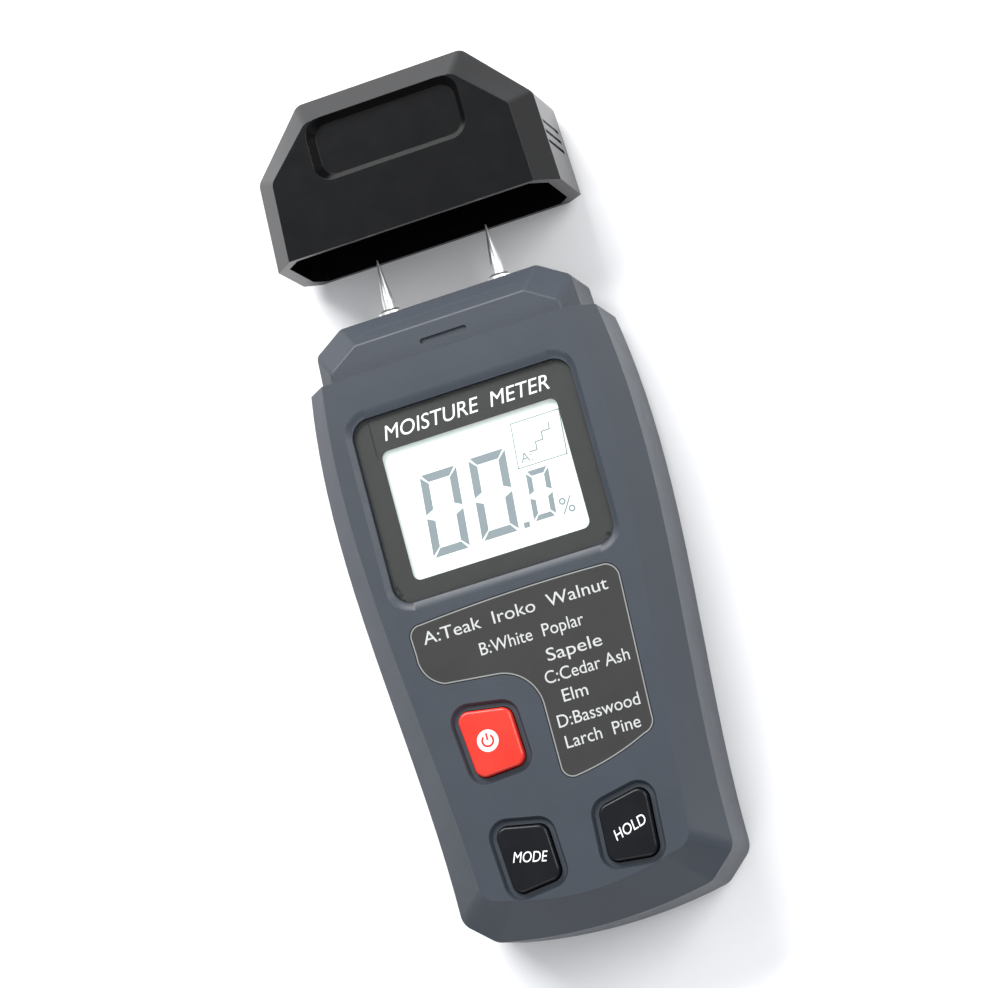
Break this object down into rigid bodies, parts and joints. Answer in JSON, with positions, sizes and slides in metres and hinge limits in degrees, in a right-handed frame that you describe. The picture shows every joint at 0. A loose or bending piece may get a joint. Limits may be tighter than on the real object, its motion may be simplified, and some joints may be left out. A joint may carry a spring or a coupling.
{
  "type": "moisture meter",
  "caption": "Hand-held two-pin wood moisture meter with a display, a legend label, press keys, a rear battery bay and a pull-off pin cap.",
  "frame": {"origin": "on the flat back of the casing, on the centreline, halfway between the head shoulder and the bottom end", "axes": "+X to the right seen from the front, +Y along the meter towards the pins, +Z out of the front face"},
  "size_m": [0.069, 0.1865, 0.0276],
  "materials": {
    "casing": "fine matt texture",
    "cap_plastic": "satin black",
    "clear_lens": "clear gloss",
    "mask_print": "dark print behind the lens",
    "label_film": "printed film",
    "lcd_glass": "polarised glass",
    "reflector": "white diffuser",
    "frame_plastic": "moulded",
    "rubber": "conductive strip",
    "board": "glass-fibre board",
    "component": "moulded",
    "red_key": "satin red",
    "black_key": "satin black",
    "white_print": "white insert",
    "steel": "bright plated",
    "brass": "plain",
    "battery_can": "plain can",
    "red_wire": "insulation",
    "black_wire": "insulation",
    "foam": "foam pad",
    "screw_steel": "zinc plated"
  },
  "bodies": {
    "meter": {"back_case": "casing", "battery": "battery_can", "battery_pad": "foam", "battery_snap": "component", "battery_terminals": "steel", "black_lead": "black_wire", "board_components": "component", "board_screws": "screw_steel", "case_screws": "screw_steel", "contact_strips": "brass", "controller_chip": "component", "display_lens": "clear_lens", "display_mask": "mask_print", "front_case": "casing", "lcd_frame": "frame_plastic", "lcd_glass": "lcd_glass", "lcd_reflector": "reflector", "left_pin": "steel", "legend_label": "label_film", "main_board": "board", "pin_collars": "steel", "pin_sockets": "brass", "rating_plate": "label_film", "red_lead": "red_wire", "right_pin": "steel", "tact_switches": "component", "zebra_strips": "rubber"},
    "power_key": {"power_key": "red_key", "power_plunger": "component", "power_disc": "white_print"},
    "mode_key": {"mode_key": "black_key", "mode_plunger": "component"},
    "hold_key": {"hold_key": "black_key", "hold_plunger": "component"},
    "battery_door": {"battery_door": "casing"},
    "cap": {"cap": "cap_plastic"}
  },
  "joints": [
    {"name": "power_press", "type": "slide", "parent": "meter", "child": "power_key", "axis": [0, 0, -1], "range_m": [0, 0.0007], "stiffness_N_per_m": 600},
    {"name": "mode_press", "type": "slide", "parent": "meter", "child": "mode_key", "axis": [0, 0, -1], "range_m": [0, 0.0007], "stiffness_N_per_m": 600},
    {"name": "hold_press", "type": "slide", "parent": "meter", "child": "hold_key", "axis": [0, 0, -1], "range_m": [0, 0.0007], "stiffness_N_per_m": 600},
    {"name": "battery_door_slide", "type": "slide", "parent": "meter", "child": "battery_door", "axis": [0, -1, 0], "range_m": [0, 0.062]},
    {"name": "cap_slide", "type": "slide", "parent": "meter", "child": "cap", "axis": [0, 1, 0], "range_m": [-0.0279, 0.03]}
  ]
}
